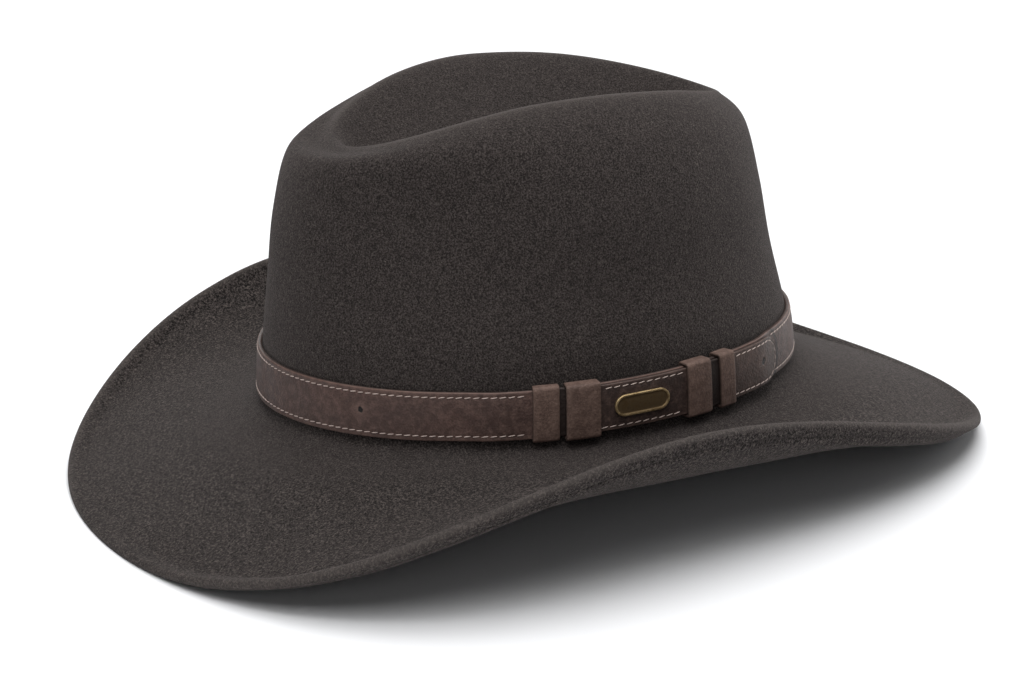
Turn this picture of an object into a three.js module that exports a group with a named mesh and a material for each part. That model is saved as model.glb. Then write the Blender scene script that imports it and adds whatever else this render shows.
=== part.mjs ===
// A wool felt hat: a crown with a centre crease and two front pinches, and a brim that dips at the front
// and back, rises at the sides and has its edge turned under and curled up. A stitched leather band goes
// round the crown. Its end strap lies over it on the wearer's left, in four leather keepers, with a small
// brass plate. Millimetres, +Z up, +Y towards the back, +X towards the wearer's left. The origin is on the
// surface that the hat rests on, under the middle of the crown.

import * as THREE from "three";

// Felt
const FELT = 2.2;
const BREAK_HEIGHT = 28.6; // the level that crown sections and brim lifts are measured from
const BREAK_FILLET = 4; // radius of the bend between crown and brim
const BRIM_CURVE = 1.5; // power with which the brim's slope changes from its root to its hem
const HEM_WIDTH = 9;
const HEM_LAYER = 1.8; // the felt folded under the brim's edge, pressed flat
const HEM_BEND = 4; // length over which the brim turns up into its hem
const RAW_EDGE_AT = 1.8; // how far into the bend the hem's raw edge lies

// Crown sections from the brim up to the floor of the crease: ovals about the crown's axis, with their
// reach to the front and back and their levels above the brim at the front, the sides and the back.
const CROWN_SECTIONS = [
  { halfWidth: 88.5, front: 104, back: 101.5, atFront: 0, atSide: 0, atBack: 0 },
  { halfWidth: 88.5, front: 102, back: 99.5, atFront: 24, atSide: 30, atBack: 24 },
  { halfWidth: 80.5, front: 99.5, back: 95, atFront: 50, atSide: 56, atBack: 50 },
  { halfWidth: 76.5, front: 96, back: 91.5, atFront: 77, atSide: 84, atBack: 74 },
  { halfWidth: 67.5, front: 89, back: 87, atFront: 98, atSide: 105.5, atBack: 95.5 },
  { halfWidth: 53, front: 76.5, back: 79, atFront: 100, atSide: 117, atBack: 104.5 },
  { halfWidth: 46, front: 70.5, back: 75, atFront: 101.5, atSide: 117, atBack: 105 },
  { halfWidth: 19.5, front: 64, back: 60, atFront: 92, atSide: 99, atBack: 92 },
  { halfWidth: 0, front: 54, back: 46, atFront: 87, atSide: 93, atBack: 87 },
];

// The two front pinches: angle from straight ahead, half spread round the crown, the crown section at
// their middle, half spread in sections, and depth.
const PINCH = { angle: 48, spread: 24, section: 3, sectionSpread: 1.1, depth: 9 };

// Brim stations from the front round to the back, alike on both sides: the brim's width, the lift of its
// root, and its slopes at the root, at the hem's bend and in the hem, in degrees above level.
const BRIM_STATIONS = [
  { place: "front", width: 78.5, lift: 3.5, rootSlope: -26.9, outerSlope: -19.5, hemSlope: -8 },
  { place: "front quarter", width: 88.9, lift: 3.5, rootSlope: -14, outerSlope: -7.4, hemSlope: 28 },
  { place: "side", width: 75, lift: 4.5, rootSlope: -18, outerSlope: 54, hemSlope: 71 },
  { place: "rear quarter", width: 69, lift: 5.5, rootSlope: -24, outerSlope: -1, hemSlope: 54 },
  { place: "back", width: 82.5, lift: 5, rootSlope: -22.4, outerSlope: -23.5, hemSlope: -13 },
];

// Leather band, strap and keepers. Heights are above the brim's root, depths are out from the felt, and
// distances along the band are from the wearer's left, towards the back.
const GAP = 0.3; // between one piece and the next
const BAND = { low: 3.5, high: 21.3, thickness: 1.6 };
const STRAP = { inset: 0.3, thickness: 1.4, from: -21, to: 72.8, endRadius: 8 };
const KEEPER_LEATHER = 1;
const KEEPER_SLACK = 0.25; // above and below the band
const KEEPER_INSIDE_RADIUS = 0.1;
const KEEPER_OUTSIDE_RADIUS = 0.9;
const KEEPERS = [
  { name: "keeper_1", from: -35.2, width: 9.3, overStrap: false },
  { name: "keeper_2", from: -24, width: 12.1, overStrap: true },
  { name: "keeper_3", from: 21.1, width: 10.4, overStrap: true },
  { name: "keeper_4", from: 35.7, width: 7.2, overStrap: true },
];
const STAND_OFF = { from: -46, to: 58, ease: 16 }; // where the band stands off the felt for the keepers

// Plain brass plate on the strap, between the two wide keepers.
const PLATE = { centre: 3.2, length: 20.5, height: 8, thickness: 1, level: 12.5 };

// Fineness of the solids
const SIDES = 64; // angles round the hat, a multiple of 4
const CROWN_LEVELS = [
  8, 7.67, 7.33, 7, 6.67, 6.33, 6, 5.67, 5.33, 5, 4.67, 4.33, 4, 3.5, 3, 2.5, 2, 1.5, 1, 0.5,
];
const INSIDE_LEVELS = [0.5, 1, 2, 3, 4, 4.5, 5, 5.5, 6, 6.5, 7, 7.5, 8];
const FILLET_STEPS = 3;
const BRIM_STEPS = 8;
const UNDERSIDE_STEPS = 6;
const BEND_STEPS = 3;
const STRAP_STEPS = 18;
const STRAP_END_TURNS = [30, 50, 65, 78, 90]; // degrees round the strap's rounded end
const PLATE_END_TURNS = [78, 60, 40, 20, 0]; // degrees round the plate's ends, from the tip
const RIM_SHARES = [0.25, 0.5, 0.75]; // of the half turn round the brim's rim

// Steps for directions taken from the faces, and halvings for a height on the wall
const ANGLE_STEP = 0.001;
const LEVEL_STEP = 0.02;
const LEVEL_MARGIN = 0.05;
const HALVINGS = 30;

const LAST_SECTION = CROWN_SECTIONS.length - 1;
const LAST_STATION = BRIM_STATIONS.length - 1;
const TURN = 2 * Math.PI;

const radians = (degrees) => (degrees * Math.PI) / 180;
const clamp01 = (value) => Math.min(Math.max(value, 0), 1);
const smooth = (value) => clamp01(value) ** 2 * (3 - 2 * clamp01(value));

// A column of the brim stations at any angle: the cosine series through all the stations, which is
// smooth all round and alike on both sides. Angles are from the wearer's left, turning to the back.
function aroundBrim(column, angle) {
  const endWeight = (i) => (i === 0 || i === LAST_STATION ? 0.5 : 1);
  let sum = 0;
  for (let k = 0; k <= LAST_STATION; k++) {
    let share = 0;
    for (let j = 0; j <= LAST_STATION; j++) {
      share += endWeight(j) * BRIM_STATIONS[j][column] * Math.cos((Math.PI * j * k) / LAST_STATION);
    }
    sum += endWeight(k) * share * Math.cos(k * (angle + Math.PI / 2));
  }
  return (2 / LAST_STATION) * sum;
}

const rootHeight = (angle) => BREAK_HEIGHT + aroundBrim("lift", angle);

function sectionPoint(index, angle) {
  const section = CROWN_SECTIONS[index];
  const forward = Math.sin(angle) < 0;
  const reach = forward ? section.front : section.back;
  const endLevel = forward ? section.atFront : section.atBack;
  const level = section.atSide + (endLevel - section.atSide) * Math.sin(angle) ** 2;
  const base = index === 0 ? rootHeight(angle) : BREAK_HEIGHT;
  return new THREE.Vector3(
    section.halfWidth * Math.cos(angle),
    reach * Math.sin(angle),
    base + level,
  );
}

// Below the first section the wall runs straight on. Past the crease's floor it climbs the other side.
function sectionPointBeyond(index, angle) {
  if (index < 0) {
    return sectionPoint(0, angle).multiplyScalar(2).sub(sectionPoint(1, angle));
  }
  if (index > LAST_SECTION) {
    const mirrored = sectionPoint(2 * LAST_SECTION - index, angle);
    mirrored.x = -mirrored.x;
    return mirrored;
  }
  return sectionPoint(index, angle);
}

function catmullRom(before, from, to, after, part) {
  const bend = 2 * before - 5 * from + 4 * to - after;
  const twist = 3 * from - before - 3 * to + after;
  return from + 0.5 * part * (to - before + part * (bend + part * twist));
}

// How far the front pinches press a point of the crown towards its axis.
function pinchShift(angle, level) {
  const shift = new THREE.Vector3();
  if (level > LAST_SECTION - 2) {
    return shift;
  }
  const rise = Math.exp(-(((level - PINCH.section) / PINCH.sectionSpread) ** 2));
  for (const side of [1, -1]) {
    const middle = -Math.PI / 2 + side * radians(PINCH.angle);
    const away = Math.atan2(Math.sin(angle - middle), Math.cos(angle - middle));
    const spread = Math.exp(-((away / radians(PINCH.spread)) ** 2));
    const depth = PINCH.depth * rise * spread;
    shift.x -= depth * Math.cos(middle);
    shift.y -= depth * Math.sin(middle);
  }
  return shift;
}

// The crown's outer face. The level counts sections, from 0 at the brim to the last at the crease's floor.
function crownPoint(angle, level) {
  const index = Math.min(Math.floor(level), LAST_SECTION - 1);
  const part = level - index;
  const ends = [-1, 0, 1, 2].map((step) => sectionPointBeyond(index + step, angle));
  const along = (axis) => catmullRom(...ends.map((end) => end[axis]), part);
  return new THREE.Vector3(along("x"), along("y"), along("z")).add(pinchShift(angle, level));
}

function crownNormal(angle, level) {
  const inner = Math.min(Math.max(level, LEVEL_MARGIN), LAST_SECTION - LEVEL_MARGIN);
  const round = crownPoint(angle + ANGLE_STEP, inner).sub(crownPoint(angle - ANGLE_STEP, inner));
  const up = crownPoint(angle, inner + LEVEL_STEP).sub(crownPoint(angle, inner - LEVEL_STEP));
  const normal = round.cross(up);
  if (level === LAST_SECTION) {
    normal.x = 0;
  }
  return normal.normalize();
}

// The point of the crown's wall at a height above the brim's root, found by halving.
function wallPoint(angle, height) {
  let low = 0;
  let high = 2;
  for (let i = 0; i < HALVINGS; i++) {
    const middle = (low + high) / 2;
    if (crownPoint(angle, middle).z < rootHeight(angle) + height) {
      low = middle;
    } else {
      high = middle;
    }
  }
  return crownPoint(angle, low);
}

// The level direction straight out of the wall at a height above the brim's root.
function outward(angle, height) {
  const along = wallPoint(angle + ANGLE_STEP, height).sub(wallPoint(angle - ANGLE_STEP, height));
  return new THREE.Vector3(along.y, -along.x, 0).normalize();
}

// The brim at one angle: its top face from the wall to the rim, as a function of the length along it.
// Each place has its distance out from the wall, its rise from the wall's foot, and its slope.
function brimRun(angle) {
  const width = aroundBrim("width", angle);
  const rootSlope = radians(aroundBrim("rootSlope", angle));
  const outerSlope = radians(aroundBrim("outerSlope", angle));
  const hemSlope = radians(aroundBrim("hemSlope", angle));
  const bendAt = width - HEM_WIDTH;
  const slopeAt = (length) => {
    if (length <= bendAt) {
      return rootSlope + (outerSlope - rootSlope) * clamp01(length / bendAt) ** BRIM_CURVE;
    }
    return outerSlope + (hemSlope - outerSlope) * smooth((length - bendAt) / HEM_BEND);
  };
  const sweep = rootSlope + Math.PI / 2;
  const filletOut = BREAK_FILLET * (1 + Math.sin(rootSlope));
  const filletDrop = BREAK_FILLET * Math.cos(rootSlope);
  const footHeight = filletDrop + filletOut * Math.tan(rootSlope);
  const filletPlace = (share) => {
    const slope = -Math.PI / 2 + share * sweep;
    return {
      out: BREAK_FILLET * (1 + Math.sin(slope)),
      rise: -BREAK_FILLET * Math.cos(slope),
      slope,
    };
  };
  // The fillet uses up the first stretch of the brim, so the rest starts that far along it.
  const start = filletOut / Math.cos(rootSlope);
  const placesTo = (lengths) => {
    let out = filletOut;
    let rise = -filletDrop;
    let from = start;
    return lengths.map((length) => {
      const pieces = Math.max(1, Math.ceil(length - from));
      const step = (length - from) / pieces;
      for (let i = 0; i < pieces; i++) {
        const slope = slopeAt(from + (i + 0.5) * step);
        out += Math.cos(slope) * step;
        rise += Math.sin(slope) * step;
      }
      from = length;
      return { out, rise, slope: slopeAt(length) };
    });
  };
  return { width, bendAt, start, footHeight, filletPlace, placesTo };
}

// Evenly spaced numbers from one to another, without the first.
const spaced = (from, to, steps) =>
  Array.from({ length: steps }, (_, i) => from + ((to - from) * (i + 1)) / steps);

// The felt at one angle: one line of points from the crease's floor down the outside, out over the brim,
// round the rim, back under the brim and up the inside to the crease again.
function feltLine(angle) {
  const run = brimRun(angle);
  const foot = wallPoint(angle, run.footHeight);
  const out = outward(angle, run.footHeight);
  const below = (place, thickness) => {
    const shifted = foot.clone().addScaledVector(out, place.out + Math.sin(place.slope) * thickness);
    shifted.z += place.rise - Math.cos(place.slope) * thickness;
    shifted.z = Math.max(shifted.z, 0);
    return shifted;
  };
  const onCrown = (level) => crownPoint(angle, level);
  const inCrown = (level) => crownPoint(angle, level).addScaledVector(crownNormal(angle, level), -FELT);

  const rimThickness = FELT + HEM_LAYER;
  const topEnd = run.width - rimThickness / 2;
  const rawEdge = run.bendAt + RAW_EDGE_AT;
  const bendEnd = run.bendAt + HEM_BEND;
  const topLengths = [
    ...spaced(run.start, run.bendAt, BRIM_STEPS),
    ...spaced(run.bendAt, bendEnd, BEND_STEPS),
    topEnd,
  ];
  const top = run.placesTo(topLengths);
  const hem = run.placesTo([rawEdge, (rawEdge + bendEnd) / 2, bendEnd, topEnd]);
  const underside = run.placesTo(spaced(run.start, run.bendAt, UNDERSIDE_STEPS));
  const fillet = [0, ...spaced(0, 1, FILLET_STEPS)].map(run.filletPlace);

  const rimEnd = top[top.length - 1];
  const rim = RIM_SHARES.map((share) => {
    const turn = share * Math.PI;
    const reach = (rimThickness / 2) * Math.sin(turn);
    const depth = (rimThickness / 2) * (1 - Math.cos(turn));
    const place = {
      out: rimEnd.out + Math.cos(rimEnd.slope) * reach,
      rise: rimEnd.rise + Math.sin(rimEnd.slope) * reach,
      slope: rimEnd.slope,
    };
    return below(place, depth);
  });
  return [
    ...CROWN_LEVELS.map(onCrown),
    ...fillet.map((place) => below(place, 0)),
    ...top.map((place) => below(place, 0)),
    ...rim,
    ...hem.toReversed().map((place) => below(place, rimThickness)),
    below(hem[0], FELT),
    ...underside.toReversed().map((place) => below(place, FELT)),
    ...fillet.toReversed().map((place) => below(place, FELT)),
    ...INSIDE_LEVELS.map(inCrown),
  ];
}

// A closed mesh from rows of points. Rows or columns that close run on from the last to the first.
function skin(rows, { closeRows, closeColumns, capEnds }) {
  const columns = rows[0].length;
  const triangles = [];
  const rowSteps = closeRows ? rows.length : rows.length - 1;
  const columnSteps = closeColumns ? columns : columns - 1;
  for (let i = 0; i < rowSteps; i++) {
    for (let j = 0; j < columnSteps; j++) {
      const here = rows[i];
      const next = rows[(i + 1) % rows.length];
      const k = (j + 1) % columns;
      triangles.push(here[j], next[k], next[j], here[j], here[k], next[k]);
    }
  }
  if (capEnds) {
    const last = rows[rows.length - 1];
    for (let j = 1; j < columns - 1; j++) {
      triangles.push(rows[0][0], rows[0][j + 1], rows[0][j]);
      triangles.push(last[0], last[j], last[j + 1]);
    }
  }
  const geometry = new THREE.BufferGeometry().setFromPoints(triangles);
  geometry.computeVertexNormals();
  return geometry;
}

function feltBody() {
  const lines = [];
  for (let i = 0; i < SIDES; i++) {
    lines.push(feltLine((TURN * i) / SIDES));
  }
  return skin(lines, { closeRows: true, closeColumns: false, capEnds: false });
}

// Distance along the band at fine angles, measured on the wall at the band's middle height.
const BAND_MIDDLE = (BAND.low + BAND.high) / 2;
const RULER_STEPS = 360;
const RULER = [{ angle: -Math.PI / 2, distance: 0 }];
for (let i = 1; i <= RULER_STEPS; i++) {
  const last = RULER[i - 1];
  const angle = -Math.PI / 2 + (Math.PI * i) / RULER_STEPS;
  const step = wallPoint(angle, BAND_MIDDLE).distanceTo(wallPoint(last.angle, BAND_MIDDLE));
  RULER.push({ angle, distance: last.distance + step });
}
const LEFT_DISTANCE = RULER[RULER_STEPS / 2].distance;

// The angle at a distance along the band from the wearer's left.
function angleAlong(distance) {
  const wanted = distance + LEFT_DISTANCE;
  const i = RULER.findIndex((mark) => mark.distance >= wanted);
  const share = (wanted - RULER[i - 1].distance) / (RULER[i].distance - RULER[i - 1].distance);
  return RULER[i - 1].angle + share * (RULER[i].angle - RULER[i - 1].angle);
}

// How far the band stands off the felt: a gap, and by the keepers room for their backs.
function bandDepth(angle) {
  const from = angleAlong(STAND_OFF.from);
  const to = angleAlong(STAND_OFF.to);
  const ease = angleAlong(STAND_OFF.ease);
  const turned = Math.atan2(Math.sin(angle), Math.cos(angle));
  const room = smooth((turned - from + ease) / ease) * smooth((to + ease - turned) / ease);
  return GAP + room * (KEEPER_LEATHER + GAP);
}

function onBand(angle, height, depth) {
  return wallPoint(angle, height).addScaledVector(outward(angle, BAND_MIDDLE), depth);
}

// A leather strip's section: down its outer face, whose edges are slightly rounded, and up its inner face.
function stripSection(angle, low, high, inner, thickness) {
  const edge = thickness / 3;
  const middle = (low + high) / 2;
  return [
    onBand(angle, high, inner + thickness - edge),
    onBand(angle, high - edge, inner + thickness),
    onBand(angle, middle, inner + thickness),
    onBand(angle, low + edge, inner + thickness),
    onBand(angle, low, inner + thickness - edge),
    onBand(angle, low, inner),
    onBand(angle, middle, inner),
    onBand(angle, high, inner),
  ];
}

function hatBand() {
  const rows = [];
  for (let i = 0; i < SIDES; i++) {
    const angle = (TURN * i) / SIDES;
    rows.push(stripSection(angle, BAND.low, BAND.high, bandDepth(angle), BAND.thickness));
  }
  return skin(rows, { closeRows: true, closeColumns: true, capEnds: false });
}

const STRAP_DEPTH = bandDepth(0) + BAND.thickness + GAP;
const PLATE_DEPTH = STRAP_DEPTH + STRAP.thickness + GAP;

// The depth by which a piece over the band at an angle is nearer the felt than it is by the keepers.
const settled = (angle) => bandDepth(0) - bandDepth(angle);

function bandStrap() {
  const square = STRAP.to - STRAP.endRadius;
  const rounding = STRAP_END_TURNS.map((turn) => square + STRAP.endRadius * Math.sin(radians(turn)));
  const stations = [STRAP.from, ...spaced(STRAP.from, square, STRAP_STEPS), ...rounding];
  const rows = stations.map((distance) => {
    const angle = angleAlong(distance);
    const past = clamp01((distance - square) / STRAP.endRadius);
    const narrowing = STRAP.inset + STRAP.endRadius * (1 - Math.sqrt(1 - past ** 2));
    const inner = STRAP_DEPTH - settled(angle);
    return stripSection(angle, BAND.low + narrowing, BAND.high - narrowing, inner, STRAP.thickness);
  });
  return skin(rows, { closeRows: false, closeColumns: true, capEnds: true });
}

// Heights and depths round a slot with rounded corners, with a point half way up each long side.
function slotOutline(low, high, inner, outer, radius) {
  const corner = (height, depth, startTurn) =>
    [0, 45, 90].map((turn) => ({
      height: height + radius * Math.cos(radians(startTurn + turn)),
      depth: depth + radius * Math.sin(radians(startTurn + turn)),
    }));
  const middle = (low + high) / 2;
  return [
    ...corner(high - radius, outer - radius, 0),
    { height: middle, depth: outer },
    ...corner(low + radius, outer - radius, 90),
    ...corner(low + radius, inner + radius, 180),
    { height: middle, depth: inner },
    ...corner(high - radius, inner + radius, 270),
  ];
}

// A keeper: a closed leather loop round the band, and round the strap where it lies over the band.
function keeper({ from, width, overStrap }) {
  const layers = overStrap ? GAP + STRAP.thickness : 0;
  const slot = {
    low: BAND.low - KEEPER_SLACK,
    high: BAND.high + KEEPER_SLACK,
    inner: GAP + KEEPER_LEATHER,
    outer: bandDepth(0) + BAND.thickness + layers + GAP,
  };
  const inside = slotOutline(slot.low, slot.high, slot.inner, slot.outer, KEEPER_INSIDE_RADIUS);
  const outside = slotOutline(
    slot.low - KEEPER_LEATHER,
    slot.high + KEEPER_LEATHER,
    slot.inner - KEEPER_LEATHER,
    slot.outer + KEEPER_LEATHER,
    KEEPER_OUTSIDE_RADIUS,
  );
  const angles = [0, 0.5, 1].map((share) => angleAlong(from + share * width));
  const along = (place, order) => order.map((angle) => onBand(angle, place.height, place.depth));
  const rows = inside.map((place, i) => [
    ...along(place, angles),
    ...along(outside[i], angles.toReversed()),
  ]);
  return skin(rows, { closeRows: true, closeColumns: true, capEnds: false });
}

function brassPlate() {
  const radius = PLATE.height / 2;
  const square = PLATE.length / 2 - radius;
  const ends = PLATE_END_TURNS.map((turn) => ({
    along: square + radius * Math.sin(radians(turn)),
    half: radius * Math.cos(radians(turn)),
  }));
  const places = [
    ...ends.map(({ along, half }) => ({ along: -along, half })),
    { along: 0, half: radius },
    ...ends.toReversed(),
  ];
  const rows = places.map(({ along, half }) => {
    const angle = angleAlong(PLATE.centre + along);
    return [
      onBand(angle, PLATE.level + half, PLATE_DEPTH + PLATE.thickness),
      onBand(angle, PLATE.level - half, PLATE_DEPTH + PLATE.thickness),
      onBand(angle, PLATE.level - half, PLATE_DEPTH),
      onBand(angle, PLATE.level + half, PLATE_DEPTH),
    ];
  });
  return skin(rows, { closeRows: false, closeColumns: true, capEnds: true });
}

const feltMaterial = new THREE.MeshStandardMaterial({ color: 0x3c3836, roughness: 0.95, metalness: 0 });
const bandLeather = new THREE.MeshStandardMaterial({ color: 0x453835, roughness: 0.7, metalness: 0 });
const strapLeather = new THREE.MeshStandardMaterial({ color: 0x3a2f2c, roughness: 0.6, metalness: 0 });
const keeperLeather = new THREE.MeshStandardMaterial({ color: 0x463935, roughness: 0.75, metalness: 0 });
const brass = new THREE.MeshStandardMaterial({ color: 0x8a7a4c, roughness: 0.4, metalness: 1 });

const hat = new THREE.Group();

function add(name, geometry, material) {
  const mesh = new THREE.Mesh(geometry, material);
  mesh.name = name;
  hat.add(mesh);
}

add("felt_body", feltBody(), feltMaterial);
add("hat_band", hatBand(), bandLeather);
add("band_strap", bandStrap(), strapLeather);
for (const row of KEEPERS) {
  add(row.name, keeper(row), keeperLeather);
}
add("brass_plate", brassPlate(), brass);

export default hat;
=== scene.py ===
"""Looks for a wool felt hat with a stitched leather band.

The felt, the band, its strap, the keepers and the brass plate are made again here, finer, from the same
named sizes as the solids. Sizes are in millimetres until a mesh is made, and metres from there on.
Angles go round the hat from the wearer's left towards the back.
"""

import math

import bmesh
import bpy
import numpy as np
from mathutils import Matrix, Vector


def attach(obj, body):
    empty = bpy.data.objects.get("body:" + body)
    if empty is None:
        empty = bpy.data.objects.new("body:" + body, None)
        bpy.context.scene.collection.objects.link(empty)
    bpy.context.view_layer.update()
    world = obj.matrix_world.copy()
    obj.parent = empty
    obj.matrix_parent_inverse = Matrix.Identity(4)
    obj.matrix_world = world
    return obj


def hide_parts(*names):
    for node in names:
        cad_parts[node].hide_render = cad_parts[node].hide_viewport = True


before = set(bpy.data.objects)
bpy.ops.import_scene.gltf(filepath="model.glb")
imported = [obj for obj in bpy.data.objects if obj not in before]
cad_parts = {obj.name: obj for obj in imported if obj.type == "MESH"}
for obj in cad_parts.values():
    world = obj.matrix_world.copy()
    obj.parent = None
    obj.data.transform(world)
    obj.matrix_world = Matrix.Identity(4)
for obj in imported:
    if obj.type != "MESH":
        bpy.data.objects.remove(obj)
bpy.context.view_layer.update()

MM = 0.001
TURN = 2 * math.pi

# Sizes that the solids have too
FELT = 2.2
BREAK_HEIGHT = 28.6
BREAK_FILLET = 4
BRIM_CURVE = 1.5
HEM_WIDTH = 9
HEM_LAYER = 1.8
HEM_BEND = 4
RAW_EDGE_AT = 1.8

# Crown sections: half width, reach to the front and back, and levels at the front, sides and back.
CROWN_SECTIONS = np.array(
    [
        (88.5, 104, 101.5, 0, 0, 0),
        (88.5, 102, 99.5, 24, 30, 24),
        (80.5, 99.5, 95, 50, 56, 50),
        (76.5, 96, 91.5, 77, 84, 74),
        (67.5, 89, 87, 98, 105.5, 95.5),
        (53, 76.5, 79, 100, 117, 104.5),
        (46, 70.5, 75, 101.5, 117, 105),
        (19.5, 64, 60, 92, 99, 92),
        (0, 54, 46, 87, 93, 87),
    ],
    float,
)
LAST_SECTION = len(CROWN_SECTIONS) - 1
PINCH = {"angle": 48, "spread": 24, "section": 3, "section_spread": 1.1, "depth": 9}

# Brim stations from the front round to the back.
BRIM_STATIONS = {
    "width": (78.5, 88.9, 75, 69, 82.5),
    "lift": (3.5, 3.5, 4.5, 5.5, 5),
    "root_slope": (-26.9, -14, -18, -24, -22.4),
    "outer_slope": (-19.5, -7.4, 54, -1, -23.5),
    "hem_slope": (-8, 28, 71, 54, -13),
}

GAP = 0.3
BAND = {"low": 3.5, "high": 21.3, "thickness": 1.6}
BAND_MIDDLE = (BAND["low"] + BAND["high"]) / 2
STRAP = {"inset": 0.3, "thickness": 1.4, "from": -21, "to": 72.8, "end_radius": 8}
KEEPER_LEATHER = 1
KEEPER_SLACK = 0.25
KEEPERS = {  # start along the band, width, and whether it goes over the strap
    "keeper_1": (-35.2, 9.3, False),
    "keeper_2": (-24, 12.1, True),
    "keeper_3": (21.1, 10.4, True),
    "keeper_4": (35.7, 7.2, True),
}
STAND_OFF = {"from": -46, "to": 58, "ease": 16}
PLATE = {"centre": 3.2, "length": 20.5, "height": 8, "thickness": 1, "level": 12.5}

# Fineness of the meshes, all round the hat
FELT_SIDES = 376
BAND_SIDES = 960

# The crown's ridge, in crown levels: where it lies, and how far and how widely it is eased. Under its
# bend the inside leaves out some levels, where it would fold over itself.
RIDGE = {"level": 5.5, "ease": 0.4, "spread": 0.7, "reach": 1.8}
RIDGE_INSIDE = (5.3, 6.0)

# Crown levels at the foot and the top of its wall, over which its rows are spread
WALL_FOOT, WALL_TOP = 0.4, 4

# What the felt's mesh has beyond the solid's
FELT_ROWS = {
    "crease": 52, "wall": 42, "fillet": 7, "brim": 34, "hem_bend": 9, "hem": 5, "rim": 11,
    "hem_under": 18, "brim_under": 26, "fillet_under": 6, "wall_inside": 24, "crease_inside": 30,
}
WALK_STEPS = 360  # places along the brim's top that all others come from
HEM_PRESS = {"inset": 2.2, "width": 0.4, "depth": 0.15, "mark": 0.7}  # the line pressed beside the raw edge, painted darker as shade
RAW_EDGE_STEP = 1.1  # from the raw edge to the smooth felt beside it
BAND_COVER = {"height": 24, "ease": 14}  # up the crown, where the felt starts to be uneven
# The oval of the crown's foot, and where the brim's look starts and how softly, as shares of it
BRIM_OVAL = {"half_width": 88.5, "half_length": 103, "start": 1.12, "ease": 0.2}
RIDGE_WEAR_AND_HIGHLIGHT = {"level": 5.4, "spread": 0.4}  # where the ridge is paler: wear and painted highlight
RIM_WEAR_AND_HIGHLIGHT = {"top": 0.6, "start": 0.8, "start_share": 0.3}  # how pale the rim is: wear and painted highlight
FLOOR_EASE = 6  # height over which the felt may be uneven
MERGE = 0.002  # distance under which two points become one
WAVE_SHARE = [0.35, 0.35, 1]  # of the slow waves, along X, Y and Z


def clamp01(value):
    return np.clip(value, 0, 1)


def smooth(value):
    value = clamp01(value)
    return value * value * (3 - 2 * value)


def around_brim(column, angle):
    """A column of the brim stations at any angle, as a cosine series through the stations."""
    values = BRIM_STATIONS[column]
    last = len(values) - 1
    weight = [0.5 if i in (0, last) else 1 for i in range(last + 1)]
    total = 0
    for k in range(last + 1):
        share = sum(weight[j] * values[j] * math.cos(math.pi * j * k / last) for j in range(last + 1))
        total = total + weight[k] * share * np.cos(k * (angle + math.pi / 2))
    return 2 / last * total


def root_height(angle):
    return BREAK_HEIGHT + around_brim("lift", angle)


def section_points(angle):
    """Points of every crown section at each angle, with one more before the first and after the last."""
    points = []
    for index, (half, front, back, at_front, at_side, at_back) in enumerate(CROWN_SECTIONS):
        forward = np.sin(angle) < 0
        reach = np.where(forward, front, back)
        end_level = np.where(forward, at_front, at_back)
        level = at_side + (end_level - at_side) * np.sin(angle) ** 2
        base = root_height(angle) if index == 0 else BREAK_HEIGHT
        points.append(np.stack([half * np.cos(angle), reach * np.sin(angle), base + level], -1))
    before = 2 * points[0] - points[1]
    after = points[LAST_SECTION - 1] * np.array([-1, 1, 1])
    return np.stack([before, *points, after])


def pinch_shift(angle, level):
    rise = np.exp(-(((level - PINCH["section"]) / PINCH["section_spread"]) ** 2))
    rise = np.where(level > LAST_SECTION - 2, 0, rise)
    shift = np.zeros(np.shape(angle) + (3,))
    for side in (1, -1):
        middle = -math.pi / 2 + side * math.radians(PINCH["angle"])
        away = np.arctan2(np.sin(angle - middle), np.cos(angle - middle))
        depth = PINCH["depth"] * rise * np.exp(-((away / math.radians(PINCH["spread"])) ** 2))
        shift[..., 0] -= depth * math.cos(middle)
        shift[..., 1] -= depth * math.sin(middle)
    return shift


def crown_point(angle, level):
    angle, level = np.broadcast_arrays(np.asarray(angle, float), np.asarray(level, float))
    points = section_points(angle)
    index = np.minimum(np.floor(level).astype(int), LAST_SECTION - 1)
    part = (level - index)[..., None]

    def pick(step):
        return np.take_along_axis(points, (index + 1 + step)[None, ..., None], axis=0)[0]

    before, start, end, after = pick(-1), pick(0), pick(1), pick(2)
    bend = 2 * before - 5 * start + 4 * end - after
    twist = 3 * start - before - 3 * end + after
    point = start + 0.5 * part * (end - before + part * (bend + part * twist))
    return point + pinch_shift(angle, level)


def eased_point(angle, level):
    """A crown point, drawn a little towards its neighbours under and over it near the ridge."""
    away = level - RIDGE["level"]
    step = RIDGE["ease"] * math.exp(-((away / RIDGE["spread"]) ** 2)) if abs(away) < RIDGE["reach"] else 0
    beside = crown_point(angle, level - step) + crown_point(angle, level + step)
    return crown_point(angle, level) / 2 + beside / 4


def crown_normal(angle, level):
    inner = np.clip(level, 0.05, LAST_SECTION - 0.05)
    around = crown_point(angle + 0.001, inner) - crown_point(angle - 0.001, inner)
    up = crown_point(angle, inner + 0.02) - crown_point(angle, inner - 0.02)
    normal = np.cross(around, up)
    if level == LAST_SECTION:
        normal[..., 0] = 0
    return normal / np.linalg.norm(normal, axis=-1, keepdims=True)


def wall_point(angle, height):
    """The crown's wall at a height above the brim's root, found by halving."""
    angle, height = np.broadcast_arrays(np.asarray(angle, float), np.asarray(height, float))
    low = np.zeros(angle.shape)
    high = np.full(angle.shape, 2.0)
    goal = root_height(angle) + height
    for _ in range(26):
        middle = (low + high) / 2
        under = crown_point(angle, middle)[..., 2] < goal
        low = np.where(under, middle, low)
        high = np.where(under, high, middle)
    return crown_point(angle, low)


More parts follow.
